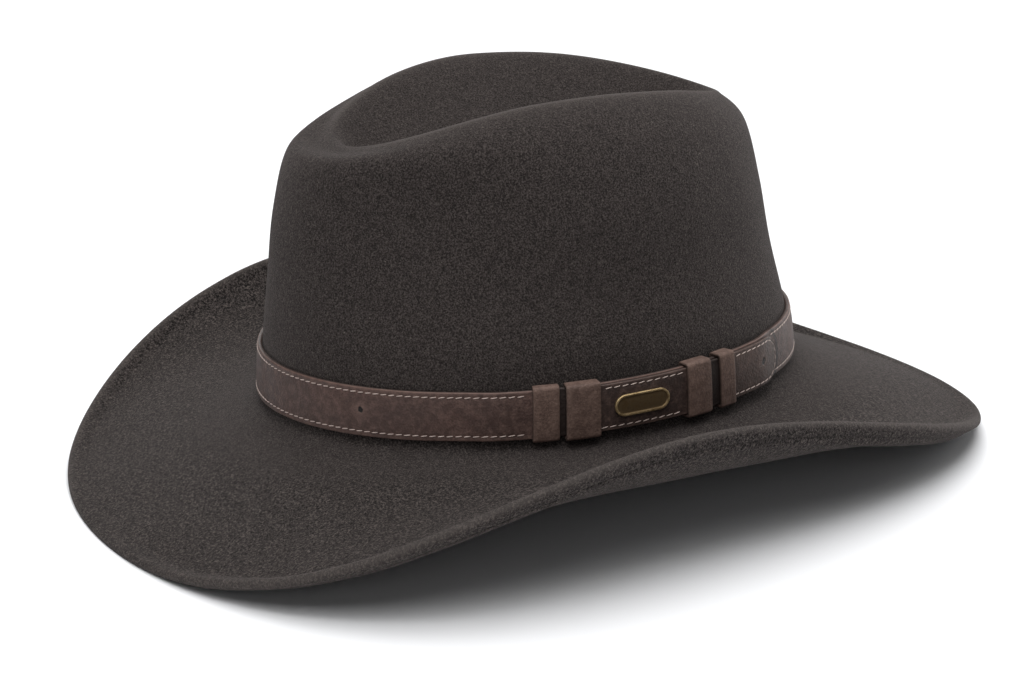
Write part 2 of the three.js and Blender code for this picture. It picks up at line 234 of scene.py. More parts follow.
def outward(angle, height):
    along = wall_point(angle + 0.001, height) - wall_point(angle - 0.001, height)
    out = np.stack([along[..., 1], -along[..., 0], np.zeros(along.shape[:-1])], -1)
    return out / np.linalg.norm(out, axis=-1, keepdims=True)


def on_band(angle, height, depth):
    depth = np.asarray(depth, float)
    return wall_point(angle, height) + outward(angle, BAND_MIDDLE) * depth[..., None]


# Distance along the band from the wearer's left, for angles from the front to the back.
ruler_angles = np.linspace(-math.pi / 2, math.pi / 2, 721)
ruler_points = wall_point(ruler_angles, BAND_MIDDLE)
ruler = np.concatenate([[0], np.cumsum(np.linalg.norm(np.diff(ruler_points, axis=0), axis=1))])
ruler -= np.interp(0, ruler_angles, ruler)
BAND_FRONT, BAND_BACK = ruler[0], ruler[-1]


def angle_along(distance):
    return np.interp(distance, ruler, ruler_angles)


def band_depth(angle):
    """How far the band stands off the felt: more by the keepers, whose backs lie behind it."""
    start, end = angle_along(STAND_OFF["from"]), angle_along(STAND_OFF["to"])
    ease = angle_along(STAND_OFF["ease"])
    turned = np.arctan2(np.sin(angle), np.cos(angle))
    room = smooth((turned - start + ease) / ease) * smooth((end + ease - turned) / ease)
    return GAP + room * (KEEPER_LEATHER + GAP)


STRAP_DEPTH = float(band_depth(0.0)) + BAND["thickness"] + GAP
PLATE_DEPTH = STRAP_DEPTH + STRAP["thickness"] + GAP


def settled(angle):
    return float(band_depth(0.0)) - band_depth(angle)


def make_object(name, points, faces, node=None, merge=0.0, marks=None):
    """A smooth mesh object from points in millimetres, riding on the hat's one body. The marks are
    numbers for each point, which its material reads by name."""
    mesh = bpy.data.meshes.new(name)
    mesh.from_pydata((np.asarray(points).reshape(-1, 3) * MM).tolist(), [], faces)
    for mark, values in (marks or {}).items():
        layer = mesh.attributes.new(mark, "FLOAT", "POINT")
        layer.data.foreach_set("value", np.asarray(values, np.float32).ravel())
    edit = bmesh.new()
    edit.from_mesh(mesh)
    if merge:
        bmesh.ops.remove_doubles(edit, verts=edit.verts, dist=merge * MM)
    bmesh.ops.recalc_face_normals(edit, faces=edit.faces)
    edit.to_mesh(mesh)
    edit.free()
    mesh.polygons.foreach_set("use_smooth", [True] * len(mesh.polygons))
    obj = bpy.data.objects.new(name, mesh)
    bpy.context.scene.collection.objects.link(obj)
    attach(obj, "root")
    if node:
        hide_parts(node)
    return obj


def grid_faces(rows, columns, close_rows=False, close_columns=False, start=0):
    faces = []
    for i in range(rows if close_rows else rows - 1):
        for j in range(columns if close_columns else columns - 1):
            a, b = i * columns, ((i + 1) % rows) * columns
            k = (j + 1) % columns
            faces.append((start + a + j, start + b + j, start + b + k, start + a + k))
    return faces


# Felt


def felt_rows():
    """Rows of points from the crease's floor out to the rim and back up the inside, one for each place
    along the felt's line, with two marks for each row: on a crest, paler as wear and painted highlight,
    and at the hem's raw edge or the line pressed beside it, darker as painted shade."""
    angle = np.linspace(0, TURN, FELT_SIDES, endpoint=False)
    root_slope = np.radians(around_brim("root_slope", angle))
    outer_slope = np.radians(around_brim("outer_slope", angle))
    hem_slope = np.radians(around_brim("hem_slope", angle))
    width = around_brim("width", angle)
    bend_at = width - HEM_WIDTH
    fillet_out = BREAK_FILLET * (1 + np.sin(root_slope))
    fillet_drop = BREAK_FILLET * np.cos(root_slope)
    foot_height = fillet_drop + fillet_out * np.tan(root_slope)
    start = fillet_out / np.cos(root_slope)
    foot = wall_point(angle, foot_height)
    out = outward(angle, foot_height)

    def slope_at(length):
        inner = root_slope + (outer_slope - root_slope) * clamp01(length / bend_at) ** BRIM_CURVE
        outer = outer_slope + (hem_slope - outer_slope) * smooth((length - bend_at) / HEM_BEND)
        return np.where(length <= bend_at, inner, outer)

    # Every place on the brim comes from one fine walk along its top.
    rim_thickness = FELT + HEM_LAYER
    top_end = width - rim_thickness / 2
    share = np.linspace(0, 1, WALK_STEPS + 1)[:, None]
    lengths = start + share * (top_end - start)
    middles = (lengths[1:] + lengths[:-1]) / 2
    step = (top_end - start) / WALK_STEPS
    outs = fillet_out + np.concatenate([0 * step[None], np.cumsum(np.cos(slope_at(middles)) * step, 0)])
    rises = -fillet_drop + np.concatenate([0 * step[None], np.cumsum(np.sin(slope_at(middles)) * step, 0)])

    def place(length):
        where = np.clip((length - start) / (top_end - start), 0, 1) * WALK_STEPS
        low = np.minimum(where.astype(int), WALK_STEPS - 1)
        part = where - low
        column = np.arange(len(angle))
        return (
            outs[low, column] * (1 - part) + outs[low + 1, column] * part,
            rises[low, column] * (1 - part) + rises[low + 1, column] * part,
            slope_at(length),
        )

    def fillet_place(share):
        slope = -math.pi / 2 + share * (root_slope + math.pi / 2)
        return BREAK_FILLET * (1 + np.sin(slope)), -BREAK_FILLET * np.cos(slope), slope

    def below(spot, thickness):
        reach, rise, slope = spot
        point = foot + out * (reach + np.sin(slope) * thickness)[:, None]
        point[:, 2] += rise - np.cos(slope) * thickness
        point[:, 2] = np.maximum(point[:, 2], 0)
        return point

    rows, crest, hem_shade = [], [], []

    def add(points, on_crest=0.0, in_hem_shade=0.0):
        rows.append(points)
        crest.append(on_crest)
        hem_shade.append(in_hem_shade)

    crease = np.linspace(LAST_SECTION, WALL_TOP, FELT_ROWS["crease"])
    wall = np.linspace(WALL_TOP, WALL_FOOT, FELT_ROWS["wall"])[1:]
    for level in np.concatenate([crease, wall]):
        # the ridge is paler: wear and painted highlight
        wear = math.exp(-(((level - RIDGE_WEAR_AND_HIGHLIGHT["level"]) / RIDGE_WEAR_AND_HIGHLIGHT["spread"]) ** 2))
        add(eased_point(angle, level), on_crest=wear)
    for share in np.linspace(0, 1, FELT_ROWS["fillet"]):
        add(below(fillet_place(share), 0))
    for share in np.linspace(0, 1, FELT_ROWS["brim"])[1:]:
        add(below(place(start + share * (bend_at - start)), 0))
    for share in np.linspace(0, 1, FELT_ROWS["hem_bend"])[1:]:
        add(below(place(bend_at + share * HEM_BEND), 0))
    for share in np.linspace(0, 1, FELT_ROWS["hem"])[1:]:
        length = bend_at + HEM_BEND + share * (top_end - bend_at - HEM_BEND)
        add(below(place(length), 0), on_crest=RIM_WEAR_AND_HIGHLIGHT["top"] * share**2)
    tip = place(top_end)
    for share in np.linspace(0, 1, FELT_ROWS["rim"])[1:-1]:
        turn = share * math.pi
        reach = rim_thickness / 2 * math.sin(turn)
        moved = (tip[0] + np.cos(tip[2]) * reach, tip[1] + np.sin(tip[2]) * reach, tip[2])
        # the rim's crest is paler: wear and painted highlight
        wear = math.sin(turn) if share > RIM_WEAR_AND_HIGHLIGHT["start_share"] else RIM_WEAR_AND_HIGHLIGHT["start"]
        add(below(moved, rim_thickness / 2 * (1 - math.cos(turn))), on_crest=wear)
    raw_edge = bend_at + RAW_EDGE_AT
    for share in np.linspace(1, 0, FELT_ROWS["hem_under"]):
        length = raw_edge + share * (top_end - raw_edge)
        off_line = (length - raw_edge - HEM_PRESS["inset"]) / HEM_PRESS["width"]
        press = np.mean(np.exp(-(off_line**2)))
        thickness = rim_thickness - HEM_PRESS["depth"] * press
        add(below(place(length), thickness), in_hem_shade=HEM_PRESS["mark"] * press)
    # The raw edge of the turned hem: a rounded step with a fine groove at its foot, painted darker as shade.
    for inset, thickness in ((0.25, rim_thickness - 0.12), (0.45, rim_thickness - 0.7), (0.45, FELT - 0.05)):
        add(below(place(raw_edge - inset), thickness), in_hem_shade=1.0)
    for share in np.linspace(1, 0, FELT_ROWS["brim_under"]):
        add(below(place(start + share * (raw_edge - RAW_EDGE_STEP - start)), FELT))
    for share in np.linspace(1, 0, FELT_ROWS["fillet_under"])[:-1]:
        add(below(fillet_place(share), FELT))
    wall = np.linspace(WALL_FOOT, WALL_TOP, FELT_ROWS["wall_inside"])
    crease = np.linspace(WALL_TOP, LAST_SECTION, FELT_ROWS["crease_inside"])[1:]
    for level in np.concatenate([wall, crease]):
        if not RIDGE_INSIDE[0] < level < RIDGE_INSIDE[1]:
            add(eased_point(angle, level) - crown_normal(angle, level) * FELT)
    return angle, np.array(rows), np.array(crest), np.array(hem_shade)


def soft_waves(points):
    """Slow small unevenness of pressed felt, in millimetres, from a few fixed waves."""
    x, y, z = points[..., 0], points[..., 1], points[..., 2]
    wave = 0.40 * np.sin(x / 31 + 1.3) * np.sin(y / 27 + 0.4) + 0.22 * np.sin(z / 13 + x / 23 + y / 41)
    return wave + 0.18 * np.sin(x / 11 + 2 * np.sin(y / 19)) * np.sin(y / 14 + z / 17)


angle, rows, crest, hem_shade = felt_rows()
row_count, side_count = rows.shape[:2]
clear_of_band = smooth((rows[..., 2] - root_height(angle)[None] - BAND_COVER["height"]) / BAND_COVER["ease"])
from_axis = np.linalg.norm(rows[..., :2] / [BRIM_OVAL["half_width"], BRIM_OVAL["half_length"]], axis=-1)
on_brim = smooth((from_axis - BRIM_OVAL["start"]) / BRIM_OVAL["ease"])
off_floor = smooth(rows[..., 2] / FLOOR_EASE)
amount = np.maximum(clear_of_band, on_brim) * off_floor
amount[:2] = 0
amount[-2:] = 0
rows = rows + soft_waves(rows)[..., None] * amount[..., None] * WAVE_SHARE
rows[..., 2] = np.maximum(rows[..., 2], 0)
felt_faces = grid_faces(side_count, row_count, close_rows=True)
felt = make_object(
    "felt",
    rows.transpose(1, 0, 2),
    felt_faces,
    node="felt_body",
    merge=MERGE,
    marks={
        "crest": crest[None] * smooth(np.abs(np.cos(angle)) * 1.4)[:, None],
        "hem_shade": np.tile(hem_shade, side_count),
        "brim": on_brim.T,
    },
)


# Leather strips


STRIP_CORNER = 0.42
STITCH_DENT = {"depth": 0.16, "width": 0.55}
STRIP_SWELL = 0.10  # how far the middle of a strip's front stands out


def strip_profile(low, high, thickness, rows_of_stitches, steps=26):
    """(height, depth) round a strip, whose corners are rounded and whose stitch rows are pressed in."""
    corner = min(STRIP_CORNER, thickness / 3)
    heights = np.linspace(high - corner, low + corner, steps)
    depth = np.full(steps, thickness)
    for at in rows_of_stitches:
        depth -= STITCH_DENT["depth"] * np.exp(-(((heights - at) / STITCH_DENT["width"]) ** 2))
    depth += STRIP_SWELL * np.sin(math.pi * (high - heights) / (high - low))
    front = list(zip(heights, depth))
    turns = np.radians([20, 45, 70])
    bottom = [(low + corner - corner * math.sin(t), thickness - corner + corner * math.cos(t)) for t in turns]
    bottom += [(low, thickness - corner), (low, corner)]
    back = [(low + corner, 0), ((low + high) / 2, 0), (high - corner, 0)]
    top = [(high, corner), (high, thickness - corner)]
    for t in turns[::-1]:
        top.append((high - corner + corner * math.sin(t), thickness - corner + corner * math.cos(t)))
    return np.array(front + bottom + back + top)


STITCH_INSET = 1.8
STRAP_STITCH_INSET = 1.4
STITCH_PITCH = 3.05
STITCH_LENGTH = 2.35
STITCH_RADIUS = 0.2
STITCH_SLANT = 8  # degrees
STITCH_SINK = 0.10  # how far its ends go down into the leather


# Dark and worn places of the leather, for its materials: cut edges, wear, painted shade and a painted shadow
EDGE_WEAR_WIDTH = 0.4
CUT_SHADE = 0.7  # on a strip's long cut edges
END_CUT_SHADE = 0.9  # on the strap's rounded end: its cut face, and painted shade
# painted shade in the slits between keepers, and a painted shadow beside the strap's end
SLIT_SHADE = {"past": 2, "dark": 0.85}
STRAP_END_SHADOW = {"away": 4.4, "width": 0.9, "dark": 0.9}


def edge_marks(profile, low, high):
    """1 at a strip's long edges, falling to 0 within 2 mm of them."""
    return np.exp(-(np.minimum(profile[:, 0] - low, high - profile[:, 0]) / EDGE_WEAR_WIDTH))


def cut_marks(profile, low, high):
    """How dark a strip is: on its top and bottom faces, where the leather's cut edge shows."""
    return CUT_SHADE * ((profile[:, 0] > high - 0.01) | (profile[:, 0] < low + 0.01))


def distance_of(angle):
    """Distance along the band from the wearer's left, and far past it on the wearer's right."""
    turned = np.arctan2(np.sin(angle), np.cos(angle))
    return np.where(np.abs(turned) <= math.pi / 2, np.interp(turned, ruler_angles, ruler), 1000.0)


def painted_slit_shade(distance):
    """Painted shade: how dark the leather is in the two narrow slits between neighbouring keepers."""
    marks = np.zeros(np.shape(distance))
    for first, second in (("keeper_1", "keeper_2"), ("keeper_3", "keeper_4")):
        start = KEEPERS[first][0] + KEEPERS[first][1]
        end = KEEPERS[second][0]
        inside = (distance > start - SLIT_SHADE["past"]) & (distance < end + SLIT_SHADE["past"])
        marks = np.maximum(marks, SLIT_SHADE["dark"] * inside)
    return marks


def strap_end_shadow(distance, height):
    """A painted shadow: how dark the band is in a line beside the strap's rounded end."""
    radius = STRAP["end_radius"]
    half = (BAND["high"] - BAND["low"]) / 2 - STRAP["inset"] - radius
    off = np.maximum(np.abs(height - BAND_MIDDLE) - half, 0)
    past = distance - STRAP["to"] + radius
    away = np.hypot(np.maximum(past, 0), off) - radius
    line = np.exp(-(((away - STRAP_END_SHADOW["away"]) / STRAP_END_SHADOW["width"]) ** 2))
    return STRAP_END_SHADOW["dark"] * (past > 0) * line


def make_band():
    low, high = BAND["low"], BAND["high"]
    profile = strip_profile(low, high, BAND["thickness"], (low + STITCH_INSET, high - STITCH_INSET))
    turn = np.linspace(0, TURN, BAND_SIDES, endpoint=False)[:, None]
    points = on_band(turn, profile[None, :, 0], band_depth(turn) + profile[None, :, 1])
    faces = grid_faces(BAND_SIDES, len(profile), True, True)
    along = distance_of(turn)
    # painted shade in the slits and a painted shadow beside the strap's end
    shade = np.maximum(painted_slit_shade(along), strap_end_shadow(along, profile[None, :, 0]))
    marks = {
        "edge": np.tile(edge_marks(profile, low, high), BAND_SIDES),
        "shade": np.maximum(shade, cut_marks(profile, low, high)[None]),
    }
    return make_object("band_leather", points, faces, node="hat_band", marks=marks)


STRAP_STOPS = 140
STRAP_END_TURNS = [15, 30, 43, 55, 65, 74, 82, 87]  # degrees round the strap's rounded end
TAB_HIGHLIGHT = {"from": 30, "over": 25, "share": 0.45}  # a painted highlight: the strap is paler towards its end


def make_strap():
    low, high = BAND["low"] + STRAP["inset"], BAND["high"] - STRAP["inset"]
    square = STRAP["to"] - STRAP["end_radius"]
    end_stops = square + STRAP["end_radius"] * np.sin(np.radians(STRAP_END_TURNS))
    stops = np.concatenate([np.linspace(STRAP["from"], square, STRAP_STOPS), end_stops])
    unit = strip_profile(low, high, STRAP["thickness"], (low + STRAP_STITCH_INSET, high - STRAP_STITCH_INSET))
    middle = (low + high) / 2
    rings = []
    for stop in stops:
        past = clamp01((stop - square) / STRAP["end_radius"])
        narrowing = STRAP["end_radius"] * (1 - math.sqrt(1 - past**2))
        shrink = 1 - narrowing / (middle - low)
        turn = float(angle_along(stop))
        heights = middle + (unit[:, 0] - middle) * shrink
        rings.append(on_band(np.full(len(unit), turn), heights, STRAP_DEPTH - settled(turn) + unit[:, 1]))
    points = np.array(rings)
    count = len(unit)
    faces = grid_faces(len(rings), count, close_columns=True)
    faces.append(tuple(range(count)))
    faces.append(tuple((len(rings) - 1) * count + i for i in reversed(range(count))))
    edge = np.tile(edge_marks(unit, low, high), len(rings)).reshape(len(rings), count)
    # painted highlight towards the strap's end, carried with the edge wear
    tab = TAB_HIGHLIGHT["share"] * smooth((stops - TAB_HIGHLIGHT["from"]) / TAB_HIGHLIGHT["over"])
    edge = np.maximum(edge, tab[:, None])
    shade = np.maximum(painted_slit_shade(stops)[:, None], cut_marks(unit, low, high)[None])
    shade[-3:] = END_CUT_SHADE
    marks = {"edge": edge, "shade": shade}
    return make_object("strap_leather", points, faces, node="band_strap", marks=marks)


def rounded_slot(low, high, inner, outer, radius, corner_steps=6, side_steps=12):
    """(height, depth) round a slot with rounded corners, the same number of points for any size."""
    path = []
    corners = [
        (high - radius, outer - radius, 0),
        (low + radius, outer - radius, 90),
        (low + radius, inner + radius, 180),
        (high - radius, inner + radius, 270),
    ]
    for i, (height, depth, first) in enumerate(corners):
        for turn in np.radians(first + np.linspace(0, 90, corner_steps)):
            path.append((height + radius * math.cos(turn), depth + radius * math.sin(turn)))
        following = corners[(i + 1) % 4]
        turn = math.radians(following[2])
        end = (following[0] + radius * math.cos(turn), following[1] + radius * math.sin(turn))
        steps = side_steps if i in (0, 2) else 2
        begin = path[-1]
        for share in np.linspace(0, 1, steps + 1)[1:-1]:
            path.append((begin[0] + (end[0] - begin[0]) * share, begin[1] + (end[1] - begin[1]) * share))
    return np.array(path)


KEEPER_RADII = {"inside": 0.15, "outside": 1.25}


def make_keeper(name, start, width, over_strap):
    layers = GAP + STRAP["thickness"] if over_strap else 0
    low, high = BAND["low"] - KEEPER_SLACK, BAND["high"] + KEEPER_SLACK
    inner = GAP + KEEPER_LEATHER
    outer = float(band_depth(0.0)) + BAND["thickness"] + layers + GAP
    inside = rounded_slot(low, high, inner, outer, KEEPER_RADII["inside"])
    t = KEEPER_LEATHER
    outside = rounded_slot(low - t, high + t, inner - t, outer + t, KEEPER_RADII["outside"])
    across = [  # how far across the width, and how far from the inside (0) to the outside (1)
        (0, 0.0), (0.0, 0.5), (0.01, 0.85), (0.035, 1.0), (0.15, 1.04), (0.5, 1.07),
        (0.85, 1.04), (0.965, 1.0), (0.99, 0.85), (1.0, 0.5), (1, 0.0), (0.5, 0.0),
    ]
    rings = []
    for share, skin in across:
        turn = float(angle_along(start + share * width))
        places = inside + (outside - inside) * skin
        places[:, 1] = np.maximum(places[:, 1], GAP)
        rings.append(on_band(np.full(len(places), turn), places[:, 0], places[:, 1]))
    count = len(inside)
    edge = [0.4, 0.4, 0.4, 0.3, 0.1, 0, 0.1, 0.3, 0.4, 0.4, 0.4, 0]
    # darker at the keeper's two sides: their cut edges, and painted shade where they meet the band
    dark = [0.6, 0.6, 0.4, 0.1, 0, 0, 0, 0.1, 0.4, 0.6, 0.6, 0]
    return make_object(
        name + "_loop",
        np.array(rings),
        grid_faces(len(rings), count, True, True),
        node=name,
        marks={"edge": np.repeat(edge, count), "shade": np.repeat(dark, count)},
    )


def make_plate():
    """A plain plate with round ends, a raised border and a sunk field."""
    half_high = PLATE["height"] / 2
    square = PLATE["length"] / 2 - half_high
    count = 96
    turns = np.linspace(0, TURN, count, endpoint=False)
    outline_x = np.where(np.cos(turns) >= 0, square, -square) + half_high * np.cos(turns)
    outline_y = half_high * np.sin(turns)
    centre_x = np.where(np.cos(turns) >= 0, square, -square)
    lips = [  # inset from the outline, depth
        (0.15, 0), (0, 0.15), (0, 0.78), (0.08, 0.93), (0.25, 1.0), (0.65, 1.0), (0.85, 0.93),
        (0.98, 0.72), (1.2, 0.66), (1.9, 0.68), (2.9, 0.74),
    ]
    rings = []
    for inset, depth in lips:
        scale = 1 - inset / half_high
        x = centre_x + (outline_x - centre_x) * scale
        y = outline_y * scale
        turn = angle_along(PLATE["centre"] + x)
        rings.append(on_band(turn, PLATE["level"] + y, PLATE_DEPTH + np.full(count, depth)))
    faces = grid_faces(len(rings), count, close_columns=True)
    last = (len(rings) - 1) * count
    faces.append(tuple(range(count)))
    faces.append(tuple(last + i for i in reversed(range(count))))
    recess = np.repeat([1.0 if 0.8 < inset else 0.0 for inset, _ in lips], count)
    return make_object(
        "brass_pin_plate",
        np.array(rings),
        faces,
        node="brass_plate",
        marks={"recess": recess},
    )


band = make_band()
strap = make_strap()
keepers = [make_keeper(name, *sizes) for name, sizes in KEEPERS.items()]
plate = make_plate()


# Stitches


def make_stitches(name, places, depth_at):
    """Short round-ended threads. A place is (distance along the band, height, direction in degrees,
    1 on the wearer's right or 0 on the left)."""
    sides = 6
    rings = (-1, -0.82, -0.4, 0.4, 0.82, 1)  # along half a stitch's length
    radii = (0.3, 0.75, 1, 1, 0.75, 0.3)  # shares of its radius
    points, faces = [], []
    for distance, height, turn, right in places:
        start = len(points)
        slant = math.radians(turn + STITCH_SLANT)
        forward, upward = math.cos(slant), math.sin(slant)
        for share, radius in zip(rings, radii):
            for k in range(sides):
                a = TURN * k / sides
                v = STITCH_RADIUS * radius * math.cos(a)
                w = STITCH_RADIUS * radius * math.sin(a) - STITCH_SINK * abs(share) ** 3
                u = share * STITCH_LENGTH / 2
                x, y = distance + u * forward - v * upward, height + u * upward + v * forward
                points.append((x, y, w, right))
        faces += grid_faces(len(rings), sides, close_columns=True, start=start)
        faces.append(tuple(start + k for k in range(sides)))
        faces.append(tuple(start + (len(rings) - 1) * sides + k for k in reversed(range(sides))))
    flat = np.array(points)
    turn = angle_along(flat[:, 0])
    turn = np.where(flat[:, 3] > 0, math.pi - turn, turn)
    solid = on_band(turn, flat[:, 1], depth_at(turn) + flat[:, 2])
    return make_object(name, solid, faces)


def covered(distance, by_strap):
    """True where the keepers, or for the band also the strap, hide the leather at this distance."""
    for first, second in (("keeper_1", "keeper_2"), ("keeper_3", "keeper_4")):
        start = KEEPERS[first][0]
        end = KEEPERS[second][0] + KEEPERS[second][1]
        if start - 1.2 < distance < end + 1.2:
            return True
    return by_strap and STRAP["from"] - 0.5 < distance < STRAP["to"] - 1


def band_stitch_places():
    low, high = BAND["low"] + STITCH_INSET, BAND["high"] - STITCH_INSET
    count = round((BAND_BACK - BAND_FRONT) / STITCH_PITCH)
    places = []
    for right in (0, 1):
        for i in range(count):
            distance = BAND_FRONT + (i + 0.5) * (BAND_BACK - BAND_FRONT) / count
            if not right and covered(distance, True):
                continue
            places += [(distance, low, 0, right), (distance, high, 0, right)]
    return places


def strap_stitch_places():
    inset = STRAP["inset"] + STRAP_STITCH_INSET
    low, high = BAND["low"] + inset, BAND["high"] - inset
    square = STRAP["to"] - STRAP["end_radius"]
    radius = STRAP["end_radius"] - STRAP_STITCH_INSET
    path = [(STRAP["from"] + 1.5, high), (square, high)]
    for t in np.radians(range(10, 91, 10)):
        path.append((square + radius * math.sin(t), high - radius + radius * math.cos(t)))
    for t in np.radians(range(0, 91, 10)):
        path.append((square + radius * math.cos(t), low + radius - radius * math.sin(t)))
    path += [(STRAP["from"] + 1.5, low)]
    path = np.array(path)
    run = np.concatenate([[0], np.cumsum(np.linalg.norm(np.diff(path, axis=0), axis=1))])
    places = []
    for length in np.arange(STITCH_PITCH / 2, run[-1], STITCH_PITCH):
        here = [float(np.interp(length, run, path[:, i])) for i in (0, 1)]
        ahead = [float(np.interp(length + 0.2, run, path[:, i])) for i in (0, 1)]
        if covered(here[0], False):
            continue
        turn = math.degrees(math.atan2(ahead[1] - here[1], ahead[0] - here[0]))
        places.append((here[0], here[1], turn, 0))
    return places


band_thread = make_stitches(
    "band_stitches", band_stitch_places(), lambda turn: band_depth(turn) + BAND["thickness"]
)
strap_thread = make_stitches(
    "strap_stitches",
    strap_stitch_places(),
    lambda turn: STRAP_DEPTH - settled(turn) + STRAP["thickness"],
)


# Materials


def srgb(r, g, b):
    """A linear colour from sRGB values out of 255."""
    return tuple(
        (v / 255 / 12.92) if v / 255 <= 0.04045 else ((v / 255 + 0.055) / 1.055) ** 2.4 for v in (r, g, b)
    ) + (1.0,)


class Nodes:
    """A material's node tree, with short calls for the nodes that are used here."""

    def __init__(self, name):
        self.material = bpy.data.materials.new(name)
        self.material.use_nodes = True
        self.tree = self.material.node_tree
        self.shader = self.tree.nodes["Principled BSDF"]
        self.place = self.new("ShaderNodeTexCoord").outputs["Object"]

    def new(self, kind, **settings):
        node = self.tree.nodes.new(kind)
        for key, value in settings.items():
            setattr(node, key, value)
        return node

    def put(self, value, socket):
        if isinstance(value, bpy.types.NodeSocket):
            self.tree.links.new(value, socket)
        else:
            socket.default_value = value

    def noise(self, per_metre, detail=3, roughness=0.55, distortion=0.0, stretch=None):
        node = self.new("ShaderNodeTexNoise")
        vector = self.place
        if stretch:
            mapping = self.new("ShaderNodeMapping")
            mapping.inputs["Scale"].default_value = stretch
            self.put(vector, mapping.inputs["Vector"])
            vector = mapping.outputs["Vector"]
        self.put(vector, node.inputs["Vector"])
        node.inputs["Scale"].default_value = per_metre
        node.inputs["Detail"].default_value = detail
        node.inputs["Roughness"].default_value = roughness
        node.inputs["Distortion"].default_value = distortion
        return node.outputs["Fac"]

    def cells(self, per_metre, feature="F1"):
        node = self.new("ShaderNodeTexVoronoi", feature=feature)
        self.put(self.place, node.inputs["Vector"])
        node.inputs["Scale"].default_value = per_metre
        return node.outputs["Distance"]

    def ramp(self, value, low, high, start=0.0, end=1.0):
        node = self.new("ShaderNodeMapRange")
        self.put(value, node.inputs["Value"])
        for key, number in (("From Min", low), ("From Max", high), ("To Min", start), ("To Max", end)):
            node.inputs[key].default_value = number
        return node.outputs["Result"]

    def math(self, operation, first, second=0.5):
        node = self.new("ShaderNodeMath", operation=operation)
        self.put(first, node.inputs[0])
        self.put(second, node.inputs[1])
        return node.outputs[0]

    def mix(self, share, first, second):
        node = self.new("ShaderNodeMix", data_type="RGBA")
        self.put(share, node.inputs["Factor"])
        self.put(first, node.inputs[6])
        self.put(second, node.inputs[7])
        return node.outputs[2]

    def attribute(self, name):
        return self.new("ShaderNodeAttribute", attribute_name=name).outputs["Fac"]

    def bump(self, height, distance, strength=1.0, under=None):
        node = self.new("ShaderNodeBump")
        self.put(height, node.inputs["Height"])
        node.inputs["Distance"].default_value = distance
        node.inputs["Strength"].default_value = strength
        if under:
            self.put(under, node.inputs["Normal"])
        return node.outputs["Normal"]


FELT_COLOURS = {  # out of 255
    "base": (40, 35, 34), "base_light": (47, 42, 41), "deep": (17, 14, 13), "fleck": (86, 79, 76),
    "clump_dark": (13, 11, 10), "clump_pale": (98, 90, 86), "tuft": (26, 23, 22), "lint": (124, 116, 110),
    "worn": (88, 82, 79), "hem_shade": (16, 14, 13), "sheen": (224, 212, 208),
}


def felt_material():
    n = Nodes("felt_wool")
    colour = {name: srgb(*value) for name, value in FELT_COLOURS.items()}
    fibres = n.noise(1700, 3, 0.75)
    strands = n.noise(1150, 3, 0.65, distortion=0.8)
    tufts = n.noise(480, 3, 0.6, distortion=0.6)
    patches = n.noise(24, 3, 0.5)
    lint = n.noise(1000, 2, 0.5, distortion=1.5)
    clumps = n.noise(1150, 3, 0.75, distortion=0.6)
    base = n.mix(n.ramp(patches, 0.3, 0.7), colour["base"], colour["base_light"])
    deep = n.mix(n.ramp(strands, 0.55, 0.38, 0, 0.85), base, colour["deep"])
    flecked = n.mix(n.ramp(fibres, 0.46, 0.64, 0, 0.9), deep, colour["fleck"])
    brim_dark = n.math("MULTIPLY", n.attribute("brim"), n.ramp(clumps, 0.53, 0.41, 0, 1.0))
    brim_pale = n.math("MULTIPLY", n.attribute("brim"), n.ramp(clumps, 0.53, 0.65, 0, 0.75))
    darkened = n.mix(brim_dark, flecked, colour["clump_dark"])
    clumped = n.mix(brim_pale, darkened, colour["clump_pale"])
    shaded = n.mix(n.ramp(tufts, 0.5, 0.3, 0, 0.45), clumped, colour["tuft"])
    pale = n.mix(n.ramp(lint, 0.68, 0.78, 0, 0.5), shaded, colour["lint"])
    # paler on the ridge and the rim's crest, at the hat's sides: wear and painted highlight
    worn = n.mix(n.math("MULTIPLY", n.attribute("crest"), 0.5), pale, colour["worn"])
    # painted shade: darker at the hem's raw edge and in the line pressed beside it
    edged = n.mix(n.math("MULTIPLY", n.attribute("hem_shade"), 0.75), worn, colour["hem_shade"])
    n.put(edged, n.shader.inputs["Base Color"])
    n.put(n.ramp(fibres, 0.3, 0.7, 0.86, 1.0), n.shader.inputs["Roughness"])
    n.shader.inputs["Specular IOR Level"].default_value = 0.15
    n.shader.inputs["Sheen Weight"].default_value = 0.12
    n.shader.inputs["Sheen Roughness"].default_value = 0.4
    n.shader.inputs["Sheen Tint"].default_value = colour["sheen"]
    coarse = n.bump(tufts, 0.0006, 0.5)
    middle = n.bump(strands, 0.0006, 0.7, coarse)
    n.put(n.bump(fibres, 0.0004, 0.8, middle), n.shader.inputs["Normal"])
    return n.material


LEATHER_GRAIN = 0.00018
CUT_EDGE_AND_SHADE = (26, 18, 15)
HOLE_SHADE = (12, 8, 7)


